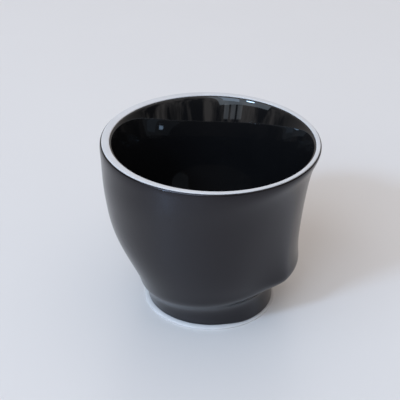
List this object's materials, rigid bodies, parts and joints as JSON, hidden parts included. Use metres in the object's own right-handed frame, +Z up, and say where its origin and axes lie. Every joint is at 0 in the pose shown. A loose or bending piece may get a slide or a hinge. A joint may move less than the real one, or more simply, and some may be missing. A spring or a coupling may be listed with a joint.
{
  "type": "sake cup",
  "caption": "Small footed sake cup in white porcelain, satin black outside and glossy black inside, with a bare lip and a wall that sways from bowl to flare.",
  "frame": {"origin": "on the table, under the middle of the lip", "axes": "+Z up; +X towards the low side, where the wall flares at the lip and is full just above the foot; -Y is the front, as pictured"},
  "size_m": [0.07, 0.07, 0.059],
  "materials": {
    "white_porcelain": "matte",
    "satin_black_glaze": "satin",
    "gloss_black_glaze": "gloss"
  },
  "bodies": {
    "root": {"porcelain_body": "white_porcelain", "outer_glaze": "satin_black_glaze", "inner_glaze": "gloss_black_glaze", "foot_well_glaze": "satin_black_glaze"}
  },
  "joints": []
}
